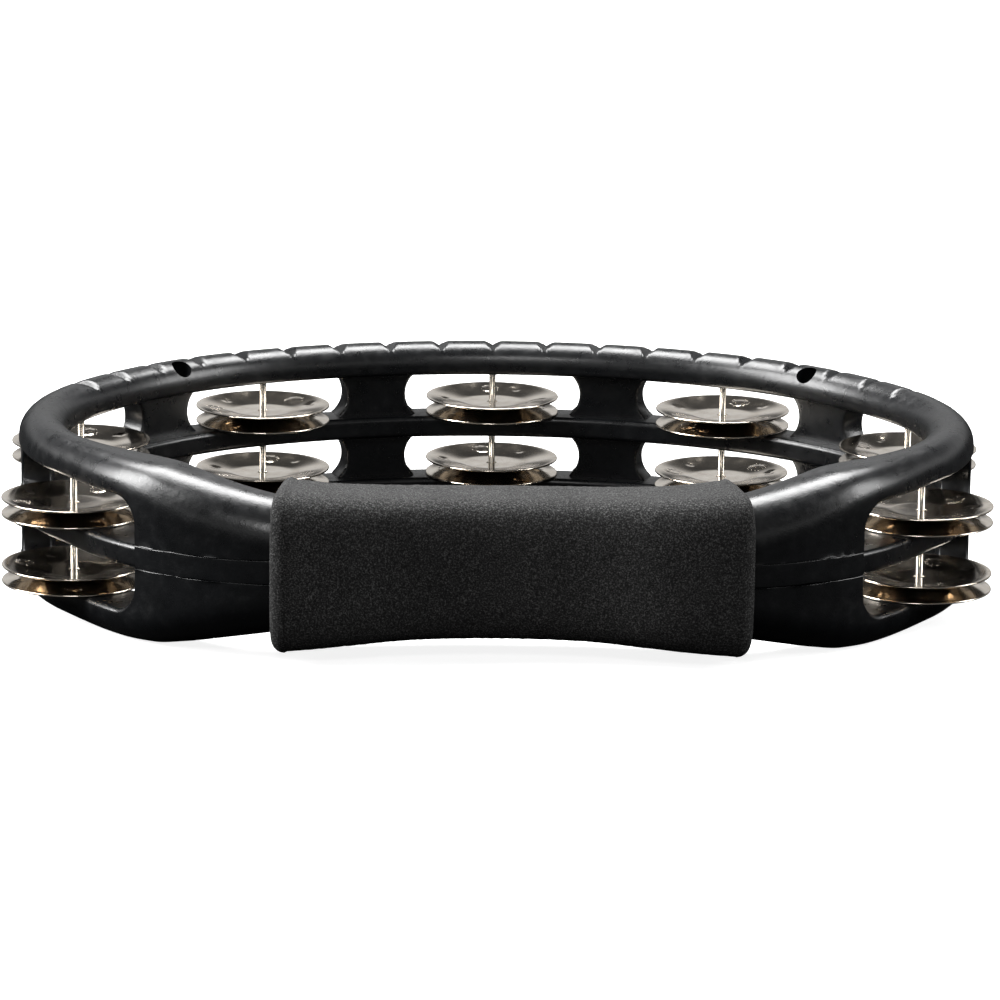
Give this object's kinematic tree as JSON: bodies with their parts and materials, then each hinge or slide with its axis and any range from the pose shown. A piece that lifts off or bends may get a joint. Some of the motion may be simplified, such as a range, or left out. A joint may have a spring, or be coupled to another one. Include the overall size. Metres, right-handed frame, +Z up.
{
  "type": "tambourine",
  "caption": "D-shaped handheld tambourine: black plastic frame with two rows of slots, pairs of dished metal jingles loose on pins, and a foam grip.",
  "frame": {"origin": "middle of the object's plan, on the plane of the lower rim's flat land", "axes": "+Z up through the ring, +Y from the grip to the back of the ring, +X to the right of someone facing the grip"},
  "size_m": [0.28, 0.2197, 0.05],
  "materials": {
    "frame_plastic": "satin, fine grain",
    "grip_foam": "matt closed-cell foam",
    "pin_steel": "bright",
    "jingle_nickel": "polished nickel-plated steel"
  },
  "bodies": {
    "frame": {"frame_upper": "frame_plastic", "frame_middle": "frame_plastic", "frame_lower": "frame_plastic", "foam_grip": "grip_foam", "pin_back": "pin_steel", "pin_back_left": "pin_steel", "pin_back_right": "pin_steel", "pin_side_left": "pin_steel", "pin_side_right": "pin_steel", "pin_front_left": "pin_steel", "pin_front_right": "pin_steel"},
    "jingle_lower_back_bottom": {"jingle_lower_back_bottom": "jingle_nickel"},
    "jingle_lower_back_top": {"jingle_lower_back_top": "jingle_nickel"},
    "jingle_lower_back_left_bottom": {"jingle_lower_back_left_bottom": "jingle_nickel"},
    "jingle_lower_back_left_top": {"jingle_lower_back_left_top": "jingle_nickel"},
    "jingle_lower_back_right_bottom": {"jingle_lower_back_right_bottom": "jingle_nickel"},
    "jingle_lower_back_right_top": {"jingle_lower_back_right_top": "jingle_nickel"},
    "jingle_lower_side_left_bottom": {"jingle_lower_side_left_bottom": "jingle_nickel"},
    "jingle_lower_side_left_top": {"jingle_lower_side_left_top": "jingle_nickel"},
    "jingle_lower_side_right_bottom": {"jingle_lower_side_right_bottom": "jingle_nickel"},
    "jingle_lower_side_right_top": {"jingle_lower_side_right_top": "jingle_nickel"},
    "jingle_lower_front_left_bottom": {"jingle_lower_front_left_bottom": "jingle_nickel"},
    "jingle_lower_front_left_top": {"jingle_lower_front_left_top": "jingle_nickel"},
    "jingle_lower_front_right_bottom": {"jingle_lower_front_right_bottom": "jingle_nickel"},
    "jingle_lower_front_right_top": {"jingle_lower_front_right_top": "jingle_nickel"},
    "jingle_upper_back_bottom": {"jingle_upper_back_bottom": "jingle_nickel"},
    "jingle_upper_back_top": {"jingle_upper_back_top": "jingle_nickel"},
    "jingle_upper_back_left_bottom": {"jingle_upper_back_left_bottom": "jingle_nickel"},
    "jingle_upper_back_left_top": {"jingle_upper_back_left_top": "jingle_nickel"},
    "jingle_upper_back_right_bottom": {"jingle_upper_back_right_bottom": "jingle_nickel"},
    "jingle_upper_back_right_top": {"jingle_upper_back_right_top": "jingle_nickel"},
    "jingle_upper_side_left_bottom": {"jingle_upper_side_left_bottom": "jingle_nickel"},
    "jingle_upper_side_left_top": {"jingle_upper_side_left_top": "jingle_nickel"},
    "jingle_upper_side_right_bottom": {"jingle_upper_side_right_bottom": "jingle_nickel"},
    "jingle_upper_side_right_top": {"jingle_upper_side_right_top": "jingle_nickel"},
    "jingle_upper_front_left_bottom": {"jingle_upper_front_left_bottom": "jingle_nickel"},
    "jingle_upper_front_left_top": {"jingle_upper_front_left_top": "jingle_nickel"},
    "jingle_upper_front_right_bottom": {"jingle_upper_front_right_bottom": "jingle_nickel"},
    "jingle_upper_front_right_top": {"jingle_upper_front_right_top": "jingle_nickel"}
  },
  "joints": [
    {"name": "slide_lower_back_bottom", "type": "slide", "parent": "frame", "child": "jingle_lower_back_bottom", "axis": [0, 0, 1], "range_m": [0, 0.0035]},
    {"name": "slide_lower_back_top", "type": "slide", "parent": "jingle_lower_back_bottom", "child": "jingle_lower_back_top", "axis": [0, 0, 1], "range_m": [0, 0.0035]},
    {"name": "slide_lower_back_left_bottom", "type": "slide", "parent": "frame", "child": "jingle_lower_back_left_bottom", "axis": [0, 0, 1], "range_m": [0, 0.0035]},
    {"name": "slide_lower_back_left_top", "type": "slide", "parent": "jingle_lower_back_left_bottom", "child": "jingle_lower_back_left_top", "axis": [0, 0, 1], "range_m": [0, 0.0035]},
    {"name": "slide_lower_back_right_bottom", "type": "slide", "parent": "frame", "child": "jingle_lower_back_right_bottom", "axis": [0, 0, 1], "range_m": [0, 0.0035]},
    {"name": "slide_lower_back_right_top", "type": "slide", "parent": "jingle_lower_back_right_bottom", "child": "jingle_lower_back_right_top", "axis": [0, 0, 1], "range_m": [0, 0.0035]},
    {"name": "slide_lower_side_left_bottom", "type": "slide", "parent": "frame", "child": "jingle_lower_side_left_bottom", "axis": [0, 0, 1], "range_m": [0, 0.0035]},
    {"name": "slide_lower_side_left_top", "type": "slide", "parent": "jingle_lower_side_left_bottom", "child": "jingle_lower_side_left_top", "axis": [0, 0, 1], "range_m": [0, 0.0035]},
    {"name": "slide_lower_side_right_bottom", "type": "slide", "parent": "frame", "child": "jingle_lower_side_right_bottom", "axis": [0, 0, 1], "range_m": [0, 0.0035]},
    {"name": "slide_lower_side_right_top", "type": "slide", "parent": "jingle_lower_side_right_bottom", "child": "jingle_lower_side_right_top", "axis": [0, 0, 1], "range_m": [0, 0.0035]},
    {"name": "slide_lower_front_left_bottom", "type": "slide", "parent": "frame", "child": "jingle_lower_front_left_bottom", "axis": [0, 0, 1], "range_m": [0, 0.0035]},
    {"name": "slide_lower_front_left_top", "type": "slide", "parent": "jingle_lower_front_left_bottom", "child": "jingle_lower_front_left_top", "axis": [0, 0, 1], "range_m": [0, 0.0035]},
    {"name": "slide_lower_front_right_bottom", "type": "slide", "parent": "frame", "child": "jingle_lower_front_right_bottom", "axis": [0, 0, 1], "range_m": [0, 0.0035]},
    {"name": "slide_lower_front_right_top", "type": "slide", "parent": "jingle_lower_front_right_bottom", "child": "jingle_lower_front_right_top", "axis": [0, 0, 1], "range_m": [0, 0.0035]},
    {"name": "slide_upper_back_bottom", "type": "slide", "parent": "frame", "child": "jingle_upper_back_bottom", "axis": [0, 0, 1], "range_m": [0, 0.0035]},
    {"name": "slide_upper_back_top", "type": "slide", "parent": "jingle_upper_back_bottom", "child": "jingle_upper_back_top", "axis": [0, 0, 1], "range_m": [0, 0.0035]},
    {"name": "slide_upper_back_left_bottom", "type": "slide", "parent": "frame", "child": "jingle_upper_back_left_bottom", "axis": [0, 0, 1], "range_m": [0, 0.0035]},
    {"name": "slide_upper_back_left_top", "type": "slide", "parent": "jingle_upper_back_left_bottom", "child": "jingle_upper_back_left_top", "axis": [0, 0, 1], "range_m": [0, 0.0035]},
    {"name": "slide_upper_back_right_bottom", "type": "slide", "parent": "frame", "child": "jingle_upper_back_right_bottom", "axis": [0, 0, 1], "range_m": [0, 0.0035]},
    {"name": "slide_upper_back_right_top", "type": "slide", "parent": "jingle_upper_back_right_bottom", "child": "jingle_upper_back_right_top", "axis": [0, 0, 1], "range_m": [0, 0.0035]},
    {"name": "slide_upper_side_left_bottom", "type": "slide", "parent": "frame", "child": "jingle_upper_side_left_bottom", "axis": [0, 0, 1], "range_m": [0, 0.0035]},
    {"name": "slide_upper_side_left_top", "type": "slide", "parent": "jingle_upper_side_left_bottom", "child": "jingle_upper_side_left_top", "axis": [0, 0, 1], "range_m": [0, 0.0035]},
    {"name": "slide_upper_side_right_bottom", "type": "slide", "parent": "frame", "child": "jingle_upper_side_right_bottom", "axis": [0, 0, 1], "range_m": [0, 0.0035]},
    {"name": "slide_upper_side_right_top", "type": "slide", "parent": "jingle_upper_side_right_bottom", "child": "jingle_upper_side_right_top", "axis": [0, 0, 1], "range_m": [0, 0.0035]},
    {"name": "slide_upper_front_left_bottom", "type": "slide", "parent": "frame", "child": "jingle_upper_front_left_bottom", "axis": [0, 0, 1], "range_m": [0, 0.0035]},
    {"name": "slide_upper_front_left_top", "type": "slide", "parent": "jingle_upper_front_left_bottom", "child": "jingle_upper_front_left_top", "axis": [0, 0, 1], "range_m": [0, 0.0035]},
    {"name": "slide_upper_front_right_bottom", "type": "slide", "parent": "frame", "child": "jingle_upper_front_right_bottom", "axis": [0, 0, 1], "range_m": [0, 0.0035]},
    {"name": "slide_upper_front_right_top", "type": "slide", "parent": "jingle_upper_front_right_bottom", "child": "jingle_upper_front_right_top", "axis": [0, 0, 1], "range_m": [0, 0.0035]}
  ]
}
